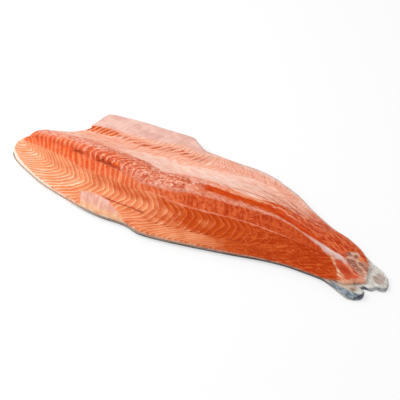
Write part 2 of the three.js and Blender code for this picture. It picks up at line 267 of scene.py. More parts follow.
def flesh_thickness(s, t):
    """How thick the flesh is: the loin, the belly and the flap, with the lobe, crack and groove."""
    spine, membrane, wall = curve(SPINE, s), curve(MEMBRANE, s), curve(BACK_WALL, s)
    loin = wall + (curve(LOIN, s) - wall) * np.sin(math.pi / 2 * unit(t / LOIN_ROUND))
    fall = ease((t - membrane + BELLY_FALL_LEAD) / BELLY_FALL)
    body = mix(loin, curve(BELLY, s), fall)
    flap = curve(FLAP_STEP, s) * ease((t - curve(RIDGE_FOOT, s)) / RIDGE_WIDTH)
    rim = curve(FLAP_RIM, s) * unit((t - 1 + RIM_WIDTH) / RIM_WIDTH) ** 2
    in_from_edge = np.minimum(t, 1 - t) * width_at(s)
    left = mix(EDGE_STEP, 1, np.sqrt(1 - unit(1 - in_from_edge / curve(EDGE_ROUND, s)) ** 2))
    across_lobe = unit((t - spine) / (membrane - spine))
    lobe = curve(LOBE, s) * np.sin(math.pi * across_lobe) ** LOBE_FULLNESS
    crack_shade = curve(CRACK, s) * bell((t - spine) / CRACK_WIDTH)
    groove = curve(GROOVE, s) * bell((t - spine - GROOVE_OFFSET) / GROOVE_WIDTH)
    return (body + flap - rim) * left + lobe - crack_shade - groove


def across_at_row(row, s):
    """The fraction across the flesh at a row: rows are spread evenly between the long lines."""
    foot = curve(RIDGE_FOOT, s)
    lines = [
        0 * s, curve(SHOULDER, s), curve(STRIP, s), curve(SPINE, s), curve(MEMBRANE, s), foot,
        foot + RIDGE_WIDTH, RIM_LINE + 0 * s, 1 + 0 * s,
    ]
    ends = np.concatenate([[0], np.cumsum(BAND_ROWS)])
    part = np.clip(np.searchsorted(ends, row) - 1, 0, len(BAND_ROWS) - 1)
    within = (row - ends[part]) / np.array(BAND_ROWS)[part]
    return mix(np.choose(part, lines[:-1]), np.choose(part, lines[1:]), within)


def bowed(k, how_much):
    """From 0 to 1, slowly at first."""
    return (1 - how_much) * unit(k) + how_much * unit(k) ** 2


def lean_at(s, t):
    """How far towards the tail the sheet of fat through a flake's tip lies at t."""
    tip, heel, strip = curve(FLAKE_TIP, s), curve(FLAKE_HEEL, s), curve(STRIP, s)
    spine, membrane, turn = curve(SPINE, s), curve(MEMBRANE, s), curve(FLAKE_TURN, s)
    lobe = unit((t - spine) / (membrane - spine))
    return (
        curve(LEAN_HEEL, s) * bowed((tip - t) / (tip - heel), curve(HEEL_BOW, s))
        + curve(LEAN_EDGE, s) * unit((heel - t) / heel)
        + curve(LEAN_STRIP, s) * bowed((t - tip) / (strip - tip), STRIP_BOW)
        + curve(LEAN_SPINE, s) * unit((t - strip) / (spine - strip))
        + LOBE_START * lobe + LOBE_ARC * lobe ** 2
        + curve(LEAN_TURN, s) * unit((t - membrane) / (turn - membrane))
        + curve(LEAN_RIM, s) * unit((t - turn) / (1 - turn))
        + curve(LEAN_RIDGE, s) * unit((t - curve(RIDGE_FOOT, s)) / RIDGE_WIDTH)
    )


def flake_count(x, s, t):
    """Counts the flakes from the collar, so that it is a whole number on each sheet of fat."""
    steps = range(-TURN_STEPS, TURN_STEPS + 1)
    lean = sum(lean_at(s, t + curve(TURN_WIDTH, s) * k / TURN_STEPS) for k in steps) / len(steps)
    each_mm = np.arange(-COUNT_REACH, COUNT_REACH + 1.0)
    return np.interp(x - lean, each_mm, np.cumsum(1 / curve(FLAKE_LENGTH, each_mm)))


def blob(s, t, middle_s, middle_t, half_s, half_t):
    """A soft spot on the surface."""
    return bell(np.hypot((s - middle_s) / half_s, (t - middle_t) / half_t) ** 2)


def between(t, start, end, soft):
    """1 between two lines and 0 outside them, fading over a width that is soft."""
    return ease((t - start) / soft + 0.5) * ease((end - t) / soft + 0.5)


def rough(x, y, size, seed):
    """Smooth noise from about -1 to 1 at each place, with lumps of that size."""
    shift = Vector([seed * step for step in SEED_STEP])
    return np.array([noise.noise(Vector((a, b, 0)) / size + shift) for a, b in zip(x, y)])


def slab(columns, rows, cuts):
    """A closed slab, one unit each way, whose top is cut finer than its underside."""
    block = bmesh.new()
    bmesh.ops.create_grid(block, x_segments=columns, y_segments=rows, size=0.5)
    raised = bmesh.ops.extrude_face_region(block, geom=block.faces[:])["geom"]
    bmesh.ops.translate(
        block, verts=[v for v in raised if isinstance(v, bmesh.types.BMVert)], vec=(0, 0, 1)
    )
    if cuts:
        top = [edge for edge in block.edges if all(v.co.z > 0.5 for v in edge.verts)]
        bmesh.ops.subdivide_edges(block, edges=top, cuts=cuts, use_grid_fill=True)
    bmesh.ops.recalc_face_normals(block, faces=block.faces)
    for face in block.faces:
        face.smooth = True
    return block


def mesh_of(block, name):
    mesh = bpy.data.meshes.new(name)
    block.to_mesh(mesh)
    block.free()
    return mesh


def corners_of(mesh):
    """How far along and across its slab each corner is, from 0 to 1, and whether it is on top."""
    places = np.empty(len(mesh.vertices) * 3)
    mesh.vertices.foreach_get("co", places)
    x, y, z = places.reshape(-1, 3).T
    return x + 0.5, y + 0.5, z > 0.5


def set_down(mesh, x, y, height):
    """Moves the corners to their places in metres, round the middle of the outline."""
    places = np.stack([x - centre_x, y - centre_y, height], axis=1) * MM
    mesh.vertices.foreach_set("co", places.ravel())
    mesh.update()


def give(mesh, numbers):
    """Keeps each corner's numbers for the material, from 0 to 1 but for the count."""
    for name, values in numbers.items():
        kept = values if name == "count" else unit(values)
        mesh.attributes.new(name, "FLOAT", "POINT").data.foreach_set("value", kept.astype(np.float32))


centre_x, centre_y = outline_centre()

flesh_mesh = mesh_of(slab(COARSE_COLUMNS, COARSE_ROWS, CUTS), "flesh_piece")
along, across, on_top = corners_of(flesh_mesh)
s = mix(FLESH_START, FLESH_END, along) - curve(TAIL_TRIM, across) * along ** TAIL_TRIM_REACH
flesh_row = across_at_row(across * sum(BAND_ROWS), s)
t = mix(curve(FLESH_BACK_INSET, along), 1 - curve(FLESH_BELLY_INSET, along), flesh_row)
x, y = plan_point(s, t)
tip, heel, strip = curve(FLAKE_TIP, s), curve(FLAKE_HEEL, s), curve(STRIP, s)
spine, membrane, foot = curve(SPINE, s), curve(MEMBRANE, s), curve(RIDGE_FOOT, s)

# Uneven flesh: lumps of three sizes in millimetres, and ribs that lie aslant.
wobble, ripple, grit = rough(x, y, 22, 1), rough(x, y, 7, 2), rough(x, y, 3.4, 3)
RIB_TURN = math.radians(30)
RIB_SLIMNESS = 3
across_ribs = x * math.cos(RIB_TURN) + y * math.sin(RIB_TURN)
along_ribs = y * math.cos(RIB_TURN) - x * math.sin(RIB_TURN)
rib_wobble = rough(across_ribs * RIB_SLIMNESS, along_ribs, 12, 4)

# The flakes aren't even: a sheet of fat strays by these parts of a flake.
STRAY = 0.1
FINE_STRAY = 0.06
GRIT_STRAY = 0.03
UNEVEN = 0.34
LUMPS_PER_FLAKE, LUMPS_ACROSS = 1.6, 9
HATCH_FLAKES = 2.6  # fine flakes of the belly wall to one of the loin
even_count = flake_count(x, s, t)
count = even_count + STRAY * wobble + FINE_STRAY * ripple + GRIT_STRAY * grit
count = count + UNEVEN * rough(even_count * LUMPS_PER_FLAKE, t * LUMPS_ACROSS, 1, 6)
to_sheet = np.abs(count - np.round(count))  # 0 on a sheet of fat, 0.5 in the middle of a flake
to_hatch = np.abs(HATCH_FLAKES * count - np.round(HATCH_FLAKES * count))

# Where each kind of flesh lies, from 0 to 1: between lines, [s, t], and as strong as [s, strength].
BEFORE, BEYOND = -1, 2  # outside the fractions, where a band has no edge


def band(start, end, soft, strength):
    """A band along the side, between two lines across it."""
    return between(t, start, end, soft) * curve(strength, s)


def stroke(middle, half, strength):
    """A soft line along the side."""
    return bell((t - middle) / half) * curve(strength, s)


back_zone = between(t, BEFORE, strip + 0.006 * ripple, 0.015)
strip_zone = between(t, strip + 0.006 * ripple, spine + 0.01 * ripple, 0.015)
upper = between(t, spine, BEYOND, 0.02)
lobe_zone = band(
    spine + 0.004, membrane + 0.02 * ripple, 0.03,
    [[0, 1], [0.44, 1], [0.52, 0.5], [0.58, 0], [1, 0]],
)
FACE_TOP = [
    [0, 0.34], [0.03, 0.39], [0.07, 0.42], [0.12, 0.45], [0.18, 0.49], [0.26, 0.48], [1, 0.48],
]
face_zone = band(
    strip, curve(FACE_TOP, s) + 0.02 * ripple, 0.02,
    [[0, 1], [0.2, 1], [0.27, 0.5], [0.34, 0], [1, 0]],
)
# The pale pink haze on top of the lobe: partly the flesh's own pink and partly painted sheen where the
# tops face the light.
HAZE_AND_SHEEN_FOOT = [
    [0, 0.36], [0.05, 0.42], [0.1, 0.455], [0.17, 0.495], [0.25, 0.53], [0.3, 0.535], [0.4, 0.575],
    [1, 0.6],
]
haze_and_sheen_zone = band(
    curve(HAZE_AND_SHEEN_FOOT, s) + 0.025 * ripple, membrane + 0.07, 0.03,
    [[0, 1], [0.4, 1], [0.5, 0.3], [0.56, 0], [1, 0]],
)
arc_zone = band(spine + 0.004, membrane + 0.01, 0.02, [
    [0, 0.25], [0.1, 0.4], [0.16, 0.7], [0.22, 1], [0.31, 1], [0.36, 0.5], [0.42, 0.2], [0.47, 0],
    [1, 0],
])
broken_zone = band(spine - 0.01, membrane + 0.005, 0.04, [
    [0, 0], [0.18, 0.1], [0.28, 0.45], [0.35, 0.9], [0.46, 1], [0.5, 0.5], [0.55, 0], [1, 0],
])
arm_zone = band(
    tip + 0.012, strip + 0.01, 0.03, [[0, 1], [0.2, 0.8], [0.35, 0.4], [0.45, 0], [1, 0]]
)
flap_zone = band(
    foot + 0.7 * RIDGE_WIDTH + 0.008 * ripple, BEYOND, 0.02,
    [[0, 1], [0.3, 1], [0.37, 0.4], [0.42, 0], [1, 0]],
)

# The lining, the ridge with its wall, and the far edge of the belly.
LINING_EDGE = [
    [0, 0.49], [0.05, 0.54], [0.11, 0.6], [0.2, 0.595], [0.26, 0.58], [0.32, 0.59], [0.38, 0.635],
    [0.46, 0.66], [0.5, 0.63], [0.6, 0.63], [0.66, 0.7], [0.72, 0.73], [0.8, 0.74], [1, 0.8],
]
lining_zone = band(
    curve(LINING_EDGE, s) + 0.014 * ripple, foot + 0.1, 0.03,
    [[0, 1], [0.56, 1], [0.64, 0.85], [0.72, 0.45], [0.8, 0.2], [0.88, 0], [1, 0]],
)
RIDGE_SHIFT = [[0, -0.002], [0.12, 0.002], [0.2, 0.01], [0.28, 0.03], [0.42, 0.02], [1, 0.01]]
RIDGE_HALF = [[0, 0.03], [0.07, 0.028], [0.1, 0.012], [0.2, 0.009], [0.3, 0.012], [1, 0.014]]
ridge_line = foot + curve(RIDGE_SHIFT, s)
ridge_half = curve(RIDGE_HALF, s) + 0.004 * ripple
ridge_zone = band(
    ridge_line - ridge_half, ridge_line + ridge_half, 0.016,
    [[0, 1], [0.3, 1], [0.36, 0.5], [0.42, 0], [1, 0]],
)
wall_zone = band(
    ridge_line - 0.075 + 0.02 * ripple, ridge_line + 0.05, 0.05,
    [[0, 0], [0.07, 0.2], [0.12, 0.5], [0.2, 1], [0.4, 1], [0.46, 0.6], [0.52, 0], [1, 0]],
)
HATCH_FOOT = [
    [0, 0.88], [0.38, 0.88], [0.44, 0.84], [0.515, 0.858], [0.57, 0.868], [0.6, 0.872], [0.63, 0.85],
    [0.68, 0.81], [1, 0.8],
]
hatch_zone = band(
    curve(HATCH_FOOT, s) + 0.012 * (to_hatch - 0.25) + 0.006 * ripple, BEYOND, 0.012,
    [[0, 0], [0.36, 0], [0.42, 1], [0.66, 1], [0.74, 0.3], [0.8, 0], [1, 0]],
)
far_edge = band(0.935 + 0.006 * ripple, BEYOND, 0.02, [
    [0, 0], [0.36, 0], [0.44, 0.5], [0.58, 0.9], [0.66, 0.9], [0.74, 0.55], [0.88, 0.5], [0.92, 0],
    [1, 0],
])

# The fin patch, the groove with its lip, the furrows, and the crack with painted shade in it.
FIN_TOP = [
    [0, 0.1], [0.24, 0.1], [0.265, 0.125], [0.3, 0.132], [0.33, 0.12], [0.355, 0.085], [0.38, 0.045],
    [0.41, 0], [1, 0],
]
fin_zone = between(t, BEFORE, curve(FIN_TOP, s) + 0.01 * ripple, 0.02)
fin_zone = fin_zone * between(s, 0.277 - 0.33 * t, 0.42, 0.008)
CREASE = [[0, 0.12], [0.27, 0.138], [0.35, 0.137], [0.44, 0.128], [1, 0.12]]
shaded_crease = bell((t - curve(CREASE, s)) / 0.0075) * between(s, 0.3, 0.43, 0.04)
GROOVE_LINE = [
    [0, 0.56], [0.44, 0.56], [0.48, 0.555], [0.53, 0.556], [0.58, 0.572], [0.63, 0.602], [0.68, 0.636],
    [0.73, 0.64], [0.77, 0.62], [0.84, 0.6], [1, 0.6],
]
groove_line = curve(GROOVE_LINE, s) + 0.006 * ripple
groove_zone = band(
    groove_line - 0.028, groove_line + 0.025, 0.018,
    [[0, 0], [0.44, 0], [0.48, 0.8], [0.54, 1], [0.75, 1], [0.82, 0.5], [0.88, 0], [1, 0]],
)
lip = stroke(
    groove_line + 0.038 + 0.012 * ripple, 0.006,
    [[0, 0], [0.44, 0], [0.48, 1], [0.7, 1], [0.76, 0], [1, 0]],
)
LONG_FURROW = [[0, 0.68], [0.48, 0.672], [0.5, 0.652], [0.55, 0.655], [0.62, 0.685], [1, 0.8]]
furrow = bell((t - curve(LONG_FURROW, s) - 0.008 * ripple) / 0.006) * between(s, 0.47, 0.64, 0.04)
for start, end, line in ((0.58, 0.72, 0.78), (0.61, 0.8, 0.715), (0.66, 0.86, 0.84)):
    short = bell((t - line - 0.012 * wobble - 0.008 * ripple) / 0.006)
    furrow = furrow + short * between(s, start, end, 0.03)
shaded_crack = stroke(spine + 0.002 + 0.006 * ripple, 0.013, [
    [0, 0.1], [0.05, 0.15], [0.1, 0.3], [0.115, 0.8], [0.135, 0.8], [0.15, 0.2], [0.175, 0.3],
    [0.19, 1], [0.24, 0.9], [0.27, 0.3], [0.34, 0.2], [0.4, 0.2], [0.44, 0], [1, 0],
])
glow = blob(s, t, 0.1, 0.38, 0.018, 0.018) + blob(s, t, 0.24, 0.422, 0.008, 0.024)
# The gaps at the flakes' heels: a dip in the flesh, with painted shadow under the flake tips.
shaded_heel_gap = stroke(heel, 0.012, [[0, 0], [0.42, 0], [0.5, 0.7], [0.7, 0.9], [0.8, 0], [1, 0]])
shaded_heel_gap = shaded_heel_gap * bell((to_sheet - 0.42) / 0.2)

# The white sinew along the middle, and the seam beside the strip.
SINEW = [
    [0.1, 0.375], [0.17, 0.39], [0.3, 0.388], [0.4, 0.4], [0.45, 0.455], [0.52, 0.49], [0.6, 0.507],
    [0.66, 0.543], [0.7, 0.575], [0.74, 0.58], [0.795, 0.55], [0.822, 0.531], [0.848, 0.512],
    [0.87, 0.508], [0.889, 0.53], [0.905, 0.55], [0.927, 0.53], [0.945, 0.52], [0.96, 0.57], [1, 0.65],
]
SINEW_WIDTH = [
    [0, 0.012], [0.3, 0.014], [0.4, 0.022], [0.5, 0.034], [0.64, 0.03], [0.72, 0.022], [0.77, 0.024],
    [0.82, 0.04], [0.85, 0.056], [0.87, 0.068], [0.885, 0.07], [0.905, 0.044], [0.93, 0.032], [1, 0.036],
]
sinew = stroke(curve(SINEW, s) + 0.01 * ripple, curve(SINEW_WIDTH, s), [
    [0, 0], [0.1, 0], [0.15, 0.4], [0.3, 0.5], [0.45, 0.75], [0.66, 0.85], [0.75, 0.85], [0.84, 1],
    [1, 1],
])
seam = stroke(strip + 0.006 * ripple, 0.009, [
    [0, 0], [0.3, 0], [0.38, 0.5], [0.48, 0.8], [0.74, 0.8], [0.82, 0.3], [0.88, 0.1], [0.9, 0], [1, 0],
])

# Heights: what the solid has, and the low relief of the flakes on it, in millimetres.
flake_rise = 0.3 * (to_sheet / 0.5) ** 0.5 * curve([[0, 0.8], [0.6, 1.2], [0.8, 0.5], [1, 0.1]], s)
ridge_rise = 0.7 * (to_sheet / 0.5) ** 0.7 + 0.3 * ripple
hatch_rise = 0.25 * (to_hatch / 0.5) ** 0.5 + 0.5
arc_rise = 1.1 * (1 - np.mod(count, 1)) ** 0.7
broken_rise = 1.4 * (0.9 * np.abs(rough(x, y, 6, 7)) + 0.6 * grit)
strip_rise = 0.35 * (rib_wobble + 0.6 * grit)
streak_rise = 0.5 * rough(0.35 * x, 1.3 * y, 6, 8)
past_middle = upper * ease((s - 0.55) / 0.1) * (1 - groove_zone)
relief = 0.35 * wobble
for zone, rise in (
    (back_zone + strip_zone, flake_rise), (shaded_heel_gap, -0.5), (lobe_zone, 0.5 * ripple),
    (arc_zone, arc_rise), (broken_zone, broken_rise), (shaded_crack, -0.5),
    (np.maximum(ridge_zone, 0.7 * wall_zone), ridge_rise), (hatch_zone, hatch_rise),
    (fin_zone, -0.6), (shaded_crease, -0.5), (sinew, 0.5), (seam, 0.3), (furrow, -0.4), (lip, 0.4),
    (strip_zone + face_zone, strip_rise), (past_middle, streak_rise),
    (ease((s - 0.86) / 0.05), 0.35 * (ripple + grit)),
):
    relief = relief + zone * rise
relief = relief * ease(np.minimum(t, 1 - t) / 0.03)
thickness = np.where(on_top, flesh_thickness(s, t) + relief, 0)
set_down(flesh_mesh, x, y, skin_top(s, t) + GAP + thickness)

# Numbers that the material reads. The tone is how deep the orange is, from the collar to the tail.
TONE = [
    [0, 0], [0.1, 0.08], [0.25, 0.24], [0.4, 0.42], [0.5, 0.58], [0.6, 0.78], [0.7, 0.95], [0.8, 1],
    [1, 1],
]
UPPER_TONE = [[0, 0.4], [0.3, 0.45], [0.5, 0.5], [0.7, 0.7], [0.85, 0.9], [1, 0.7]]
past_tip = ease((t - tip + 0.03) / 0.07) * curve([[0, 1], [0.4, 0.6], [0.7, 0], [1, 0]], s)
at_back = band(BEFORE, heel, 0.04, [[0, 0.05], [0.4, 0.1], [0.6, 0.3], [0.75, 0.1], [1, 0]])
at_belly = upper * ease((t - 0.8) / 0.15) * curve([[0, 0], [0.65, 0], [0.75, 1], [1, 1]], s)
tone = mix(curve(TONE, s) + 0.26 * past_tip - at_back, curve(UPPER_TONE, s), upper)
tone = tone - 0.35 * at_belly + 0.08 * wobble
BACK_LINES = [[0, 1], [0.6, 1], [0.72, 0.75], [0.8, 0.35], [0.9, 0.15], [1, 0.1]]
STRIP_LINES = [[0, 0], [0.1, 0.15], [0.16, 0.35], [0.3, 0.4], [0.36, 0.25], [0.46, 0.1], [1, 0]]
lines = back_zone * curve(BACK_LINES, s) + strip_zone * curve(STRIP_LINES, s)
lines = lines * (1 - 0.8 * fin_zone) * (1 - shaded_crack)
FAT_WIDTH = [[0, 0.06], [0.06, 0.03], [0.12, 0.018], [0.3, 0.01], [0.5, 0.004], [1, 0]]
fat = band(
    BEFORE, curve(FAT_WIDTH, s) + 0.006 * ripple, 0.016,
    [[0, 1], [0.2, 0.8], [0.45, 0.55], [0.6, 0.4], [1, 0.3]],
)
fat = fat + 0.45 * bell((s - 0.004) / 0.01) * between(t, BEFORE, 0.22, 0.08)
FAT_BELOW = 0.75  # how much of the fat shows under the flesh
BRANCH = [
    [0.868, 0.49], [0.882, 0.443], [0.908, 0.345], [0.924, 0.265], [0.936, 0.215], [0.95, 0.175],
    [1, 0.17],
]
branch_width = 0.036 + 0.03 * ease((s - 0.9) / 0.06)
branch = bell((t - curve(BRANCH, s) - 0.02 * ripple) / branch_width) * between(s, 0.866, 0.99, 0.012)
WEDGE_FOOT = [[0.88, 0.46], [0.907, 0.37], [0.924, 0.3], [0.96, 0.24]]
wedge = between(t, curve(WEDGE_FOOT, s), curve(SINEW, s) - 0.03, 0.05) * between(s, 0.893, 0.97, 0.012)
patch_start = 0.888 + 0.1 * np.abs(t - 0.75) + 0.006 * ripple
pale_fat = between(t, 0.585 + 0.02 * ripple, BEYOND, 0.05) * between(s, patch_start, BEYOND, 0.014)
pale_fat = pale_fat * (1 - between(s, BEFORE, 0.935, 0.02) * between(t, 0.86, BEYOND, 0.05))
brown = sum(blob(s, t, *place) for place in (
    (0.893, 0.7, 0.007, 0.06), (0.913, 0.64, 0.011, 0.07), (0.925, 0.66, 0.007, 0.05),
    (0.942, 0.64, 0.01, 0.06), (0.93, 0.755, 0.008, 0.05), (0.945, 0.775, 0.008, 0.06),
    (0.906, 0.78, 0.006, 0.04),
))
ROSY = [[0, 1], [0.14, 0.9], [0.24, 0.1], [0.46, 0], [0.56, 0.5], [0.66, 1], [1, 1]]
RIBBED = [[0, 1], [0.3, 1], [0.36, 0.5], [0.44, 0.3], [0.47, 0], [1, 0]]
give(flesh_mesh, {
    "count": count, "tone": tone, "lines": lines, "face": face_zone, "lobe": lobe_zone,
    "strip": strip_zone * curve([[0, 1], [0.6, 1], [0.9, 0.3], [1, 0]], s), "ribbed": curve(RIBBED, s),
    "arcs": arc_zone, "arms": arm_zone, "broken": broken_zone, "haze_and_sheen": haze_and_sheen_zone, "glow": glow,
    "lining": lining_zone, "rosy": curve(ROSY, s), "flap": flap_zone, "wall": wall_zone,
    "ridge": ridge_zone, "ridge_end": ridge_zone * ease((0.1 - s) / 0.02), "hatch": hatch_zone,
    "far_edge": far_edge, "lip": lip, "furrow": furrow, "crevice": groove_zone,
    "crack_shade": shaded_crack + 0.95 * shaded_crease + 1.1 * shaded_heel_gap, "sinew": sinew, "seam": seam,
    "fin": fin_zone, "low_fin": ease((0.07 - t) / 0.06),
    "fat": np.where(on_top, fat, np.maximum(fat, FAT_BELOW)),
    "silvery": ease((s - 0.76) / 0.1) * (1 - ease((s - 0.9) / 0.02)),
    "tan_end": ease((along - 0.98) / 0.012) * (1 - ease((across - 0.45) / 0.1)),
    "tail": upper * ease((s - 0.6) / 0.1) * (1 - groove_zone),
    "loin_end": back_zone * ease((s - 0.6) / 0.14),
    "pale_fat": pale_fat, "branch": branch, "wedge": wedge, "brown": brown * (1 + 0.5 * ripple),
    "orange": blob(s, t, 0.917, 0.833, 0.008, 0.05),
    "grey": ease((s - 0.955) / 0.015) * ease((t - 0.5) / 0.2),
})


def paint(red, green, blue):
    """A colour in the numbers from 0 to 255 that a screen shows."""
    screen = [part / 255 for part in (red, green, blue)]
    return [p / 12.92 if p <= 0.04045 else ((p + 0.055) / 1.055) ** 2.4 for p in screen] + [1]


# A finish is a tree of nodes. The helpers below add to the one that is being made, called tree.
def add(tree, kind, inputs=(), **settings):
    """Adds a node: a socket among the inputs is linked, and anything else is set."""
    node = tree.nodes.new("ShaderNode" + kind)
    for name, value in settings.items():
        setattr(node, name, value)
    for key, value in dict(inputs).items():
        if isinstance(value, bpy.types.NodeSocket):
            tree.links.new(value, node.inputs[key])
        else:
            node.inputs[key].default_value = value
    return node


def number(name):
    return add(tree, "Attribute", attribute_name=name).outputs["Fac"]


def reckon(operation, a, b=0.0, clamp=False):
    """Adds, subtracts or multiplies two numbers, or works on one."""
    return add(tree, "Math", {0: a, 1: b}, operation=operation, use_clamp=clamp).outputs[0]


def blend(factor, below, above):
    """Lays one colour over another."""
    return add(tree, "Mix", {0: factor, 6: below, 7: above}, data_type="RGBA").outputs[2]


def ramp(factor, stops):
    """A colour that changes with the factor from stop to stop."""
    node = add(tree, "ValToRGB", {0: factor})
    colours = node.color_ramp.elements
    while len(colours) < len(stops):
        colours.new(0.5)
    for element, (place, colour) in zip(colours, stops):
        element.position = place
        element.color = colour
    return node.outputs["Color"]


# Lumps of noise, for both finishes.
grain_group = bpy.data.node_groups.new("grain", "ShaderNodeTree")
for name, kind, start in (
    ("Lump size", "NodeSocketVector", (0.01, 0.01, 0.01)), ("Turn", "NodeSocketVector", (0, 0, 0)),
    ("Detail", "NodeSocketFloat", 3.0),
):
    grain_group.interface.new_socket(name, in_out="INPUT", socket_type=kind).default_value = start
grain_group.interface.new_socket("Height", in_out="OUTPUT", socket_type="NodeSocketFloat")
inside = grain_group.nodes.new("NodeGroupInput").outputs
placed = add(grain_group, "Mapping", {
    "Vector": add(grain_group, "TexCoord").outputs["Object"], "Rotation": inside["Turn"],
    "Scale": inside["Lump size"],
}, vector_type="TEXTURE")
noise_node = add(grain_group, "TexNoise", {
    "Vector": placed.outputs[0], "Scale": 1.0, "Detail": inside["Detail"], "Roughness": 0.55,
})
grain_group.links.new(noise_node.outputs[0], grain_group.nodes.new("NodeGroupOutput").inputs[0])


def grain(length, width, turn=0.0, detail=3.0):
    """Soft lumps of that length and width in metres, turned by degrees from the length of the side."""
    node = add(tree, "Group", node_tree=grain_group)
    node.inputs["Lump size"].default_value = (length, width, width)
    node.inputs["Turn"].default_value = (0, 0, math.radians(turn))
    node.inputs["Detail"].default_value = detail
    return node.outputs["Height"]


def spread(value, low, high, to_low=0.0, to_high=1.0):
    """Goes softly from one number to another while the value goes from low to high."""
    ends = {0: value, 1: low, 2: high, 3: to_low, 4: to_high}
    return add(tree, "MapRange", ends, interpolation_type="SMOOTHSTEP").outputs[0]


def set_out(mesh, look):
    """The finished piece, at the origin."""
    mesh.materials.append(look)
    made = bpy.data.objects.new(mesh.name, mesh)
    bpy.context.scene.collection.objects.link(made)
    return made


def new_look(name):
    look = bpy.data.materials.new(name)
    look.use_nodes = True
    look.node_tree.nodes.clear()
    return look


flesh_look = new_look("raw_salmon")
tree = flesh_look.node_tree

# Lumps of noise: their lengths and widths in metres, and how many degrees they are turned.
fibres = grain(0.016, 0.0024)
ribs = grain(0.0042, 0.016, 30)
clouds = grain(0.03, 0.016)
patches = grain(0.012, 0.007)
crumbs = grain(0.005, 0.004)
specks = grain(0.003, 0.002, 0, 2)
streaks = grain(0.03, 0.0036, -17)
thin_streaks = grain(0.011, 0.0024, -20, 4)
end_lines = grain(0.022, 0.0026, 27)
shreds = grain(0.008, 0.0022, -8)
ragged = reckon("SUBTRACT", grain(0.01, 0.005), 0.5)
jagged = reckon("SUBTRACT", grain(0.0045, 0.003), 0.5)


def times(*parts):
    """The parts multiplied."""
    product = parts[0]
    for part in parts[1:]:
        product = reckon("MULTIPLY", product, part)
    return product


def between_sheets(often, jag=0.28):
    """From 0 on one sheet of fat to 1 on the next, with so many sheets to a flake."""
    bent = reckon("ADD", number("count"), times(ragged, 0.2))
    bent = reckon("ADD", bent, times(jagged, jag))
    return reckon("FRACT", times(bent, often))


def off_sheet(place):
    """How far a place between two sheets is off the nearer one, up to 0.5."""
    return reckon("SUBTRACT", 0.5, reckon("ABSOLUTE", reckon("SUBTRACT", place, 0.5)))


def pale_edge(place, width):
    """The pale edge of a flake, along its sheet of fat."""
    return reckon("ADD", spread(place, 1 - width, 0.97), spread(place, 0.05, 0))


def painted_shade_after(place):
    """Painted shade on the flesh just past a sheet of fat."""
    return times(spread(place, 0.02, 0.12), spread(place, 0.75, 0.15))


ARM_FLAKES = 2.0  # pale edges to a flake between its tip and the strip
WALL_FLAKES = 1.6  # and on the wall beside the ridge
flake = between_sheets(1.0)
away, sheet, sheet_shade = off_sheet(flake), pale_edge(flake, 0.3), painted_shade_after(flake)
jagged_flake = between_sheets(1.0, 1.0)
arc, arc_shade = pale_edge(jagged_flake, 0.26), painted_shade_after(jagged_flake)
fine_away = off_sheet(between_sheets(HATCH_FLAKES))
arm = pale_edge(between_sheets(ARM_FLAKES), 0.26)
wall_flake = between_sheets(WALL_FLAKES)
wall, wall_sheet_shade = pale_edge(wall_flake, 0.3), painted_shade_after(wall_flake)
line = times(sheet, number("lines"), spread(ragged, -0.25, 0.1, 0.7, 1.0))
line = times(line, spread(patches, 0.3, 0.55, 0.7, 1.0))
tone_now = reckon("ADD", number("tone"), spread(clouds, 0.3, 0.7, -0.12, 0.12), True)
muscle = ramp(tone_now, [
    (0, paint(248, 172, 126)), (0.2, paint(246, 149, 96)), (0.35, paint(242, 144, 92)),
    (0.5, paint(232, 128, 76)), (0.68, paint(206, 76, 2)), (1, paint(194, 62, 0)),
])
# The colours of the painted shade just past each sheet of fat.
shaded_muscle = ramp(tone_now, [
    (0, paint(226, 126, 74)), (0.2, paint(230, 112, 56)), (0.35, paint(222, 108, 56)),
    (0.5, paint(206, 94, 42)), (0.68, paint(184, 58, 2)), (1, paint(176, 50, 0)),
])
fat_line = ramp(tone_now, [
    (0, paint(255, 224, 196)), (0.2, paint(255, 206, 168)), (0.35, paint(254, 188, 148)),
    (0.5, paint(246, 162, 118)), (0.68, paint(228, 110, 48)), (1, paint(208, 84, 20)),
])
strip_pale = ramp(tone_now, [
    (0.1, paint(244, 126, 66)), (0.5, paint(234, 114, 62)), (0.9, paint(220, 94, 42)),
])
strip_dark = ramp(tone_now, [
    (0.1, paint(226, 82, 18)), (0.5, paint(210, 76, 28)), (0.9, paint(186, 56, 8)),
])
broken_ribs = reckon("ADD", ribs, times(jagged, 0.7))
rib_colour = blend(spread(broken_ribs, 0.38, 0.62), strip_dark, strip_pale)
rib_colour = blend(spread(crumbs, 0.56, 0.68, 0, 0.4), rib_colour, paint(242, 138, 98))
rib_colour = blend(spread(crumbs, 0.42, 0.32, 0, 0.5), rib_colour, paint(182, 54, 10))
block_edge = reckon("ADD", away, times(ragged, 1.1))
block = blend(spread(block_edge, 0.1, 0.3), paint(252, 162, 118), paint(230, 102, 52))
rib_colour = blend(times(number("ribbed"), 0.8), rib_colour, block)
muscle = blend(number("strip"), muscle, rib_colour)
# Painted shade just past each sheet of fat in the loin.
muscle = blend(times(sheet_shade, number("lines"), 0.85), muscle, shaded_muscle)
muscle = blend(spread(fibres, 0.5, 0.8, 0, 0.16), muscle, fat_line)
muscle = blend(times(arm, number("arms"), 0.35), muscle, fat_line)
for marks, faint, full, cover, shade in (
    (end_lines, 0.52, 0.66, 0.65, paint(228, 108, 44)), (end_lines, 0.48, 0.36, 0.65, paint(176, 46, 0)),
    (shreds, 0.55, 0.7, 0.6, paint(238, 128, 72)), (shreds, 0.45, 0.32, 0.6, paint(172, 44, 0)),
):
    muscle = blend(times(spread(marks, faint, full, 0, cover), number("loin_end")), muscle, shade)
colour = blend(line, muscle, fat_line)

